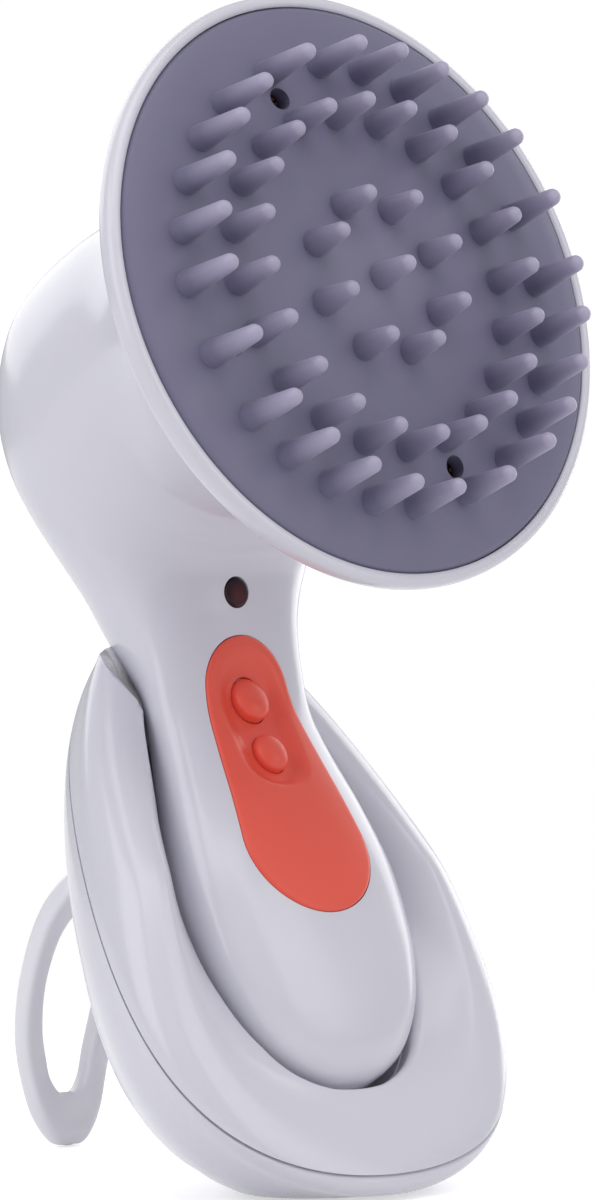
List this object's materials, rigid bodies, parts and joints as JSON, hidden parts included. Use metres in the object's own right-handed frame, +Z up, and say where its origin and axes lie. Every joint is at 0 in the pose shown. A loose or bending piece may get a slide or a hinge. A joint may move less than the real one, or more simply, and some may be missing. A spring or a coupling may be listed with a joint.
{
  "type": "scalp massager",
  "caption": "Cordless scalp massager: a round pad of soft fingers on a waisted handle with a two-button orange grip panel, resting in an egg-shaped charging stand propped by a folding loop.",
  "frame": {"origin": "middle of the underside of the stand's rubber foot, on the surface the object stands on", "axes": "+Z up, the massage pad faces -Y and a little up, +X is to the right seen from behind the handset"},
  "size_m": [0.092, 0.0935, 0.1778],
  "materials": {
    "white_gloss": "glossy cool white moulding",
    "silicone": "satin grey-violet silicone",
    "orange_soft": "soft-touch coral orange",
    "dark_red": "dark red window",
    "pale_rubber": "matte, near white",
    "black_plastic": "matte black",
    "steel": "bright",
    "contact_gold": "gold-plated",
    "board_green": "solder-mask green",
    "grey_plastic": "moulded, hidden inside",
    "cell_wrap": "shrink sleeve"
  },
  "bodies": {
    "stand": {"stand_front_shell": "white_gloss", "stand_rear_shell": "white_gloss", "stand_board": "board_green", "inlet_socket": "black_plastic", "stand_screw_1": "steel", "stand_screw_2": "steel", "stand_screw_3": "steel", "stand_screw_4": "steel", "pin_barrel_1": "contact_gold", "pin_barrel_2": "contact_gold", "base_foot": "pale_rubber", "hinge_pin": "steel"},
    "prop": {"kickstand": "white_gloss", "kickstand_pad": "pale_rubber"},
    "pin_left": {"contact_pin_1": "contact_gold"},
    "pin_right": {"contact_pin_2": "contact_gold"},
    "handset": {"handset_shell": "white_gloss", "rear_cover": "white_gloss", "head_skirt": "white_gloss", "massage_pad": "silicone", "pad_carrier": "grey_plastic", "motor_bracket": "grey_plastic", "motor": "steel", "pad_screw_1": "steel", "pad_screw_2": "steel", "pad_screw_3": "steel", "pad_screw_4": "steel", "grip_panel": "orange_soft", "indicator_lens": "dark_red", "indicator_lamp": "dark_red", "circuit_board": "board_green", "power_switch": "steel", "mode_switch": "steel", "battery_cradle": "grey_plastic", "battery_cell_1": "cell_wrap", "battery_cell_2": "cell_wrap", "charge_contact_1": "contact_gold", "charge_contact_2": "contact_gold", "cover_screw_1": "steel", "cover_screw_2": "steel"},
    "power_key": {"power_button": "orange_soft"},
    "mode_key": {"mode_button": "orange_soft"},
    "weight": {"eccentric_weight": "steel"}
  },
  "joints": [
    {"name": "handset_lift", "type": "slide", "parent": "stand", "child": "handset", "axis": [0, -0.788, 0.6157], "range_m": [0, 0.08]},
    {"name": "stand_fold", "type": "hinge", "parent": "stand", "child": "prop", "pos_m": [0, 0.047, 0.0465], "axis": [1, 0, 0], "range_deg": [-50, 0]},
    {"name": "power_button_press", "type": "slide", "parent": "handset", "child": "power_key", "axis": [0, 0.788, -0.6157], "range_m": [0, 0.0008], "stiffness_N_per_m": 600, "springref_m": -0.0008},
    {"name": "mode_button_press", "type": "slide", "parent": "handset", "child": "mode_key", "axis": [0, 0.788, -0.6157], "range_m": [0, 0.0008], "stiffness_N_per_m": 600, "springref_m": -0.0008},
    {"name": "motor_spin", "type": "hinge", "parent": "handset", "child": "weight", "pos_m": [0, -0.008, 0.1345], "axis": [0, -0.9563, 0.2924], "continuous": true},
    {"name": "left_pin_travel", "type": "slide", "parent": "stand", "child": "pin_left", "axis": [0, 0.788, -0.6157], "range_m": [0, 0.0005], "stiffness_N_per_m": 300, "springref_m": -0.0005},
    {"name": "right_pin_travel", "type": "slide", "parent": "stand", "child": "pin_right", "axis": [0, 0.788, -0.6157], "range_m": [0, 0.0005], "stiffness_N_per_m": 300, "springref_m": -0.0005}
  ]
}
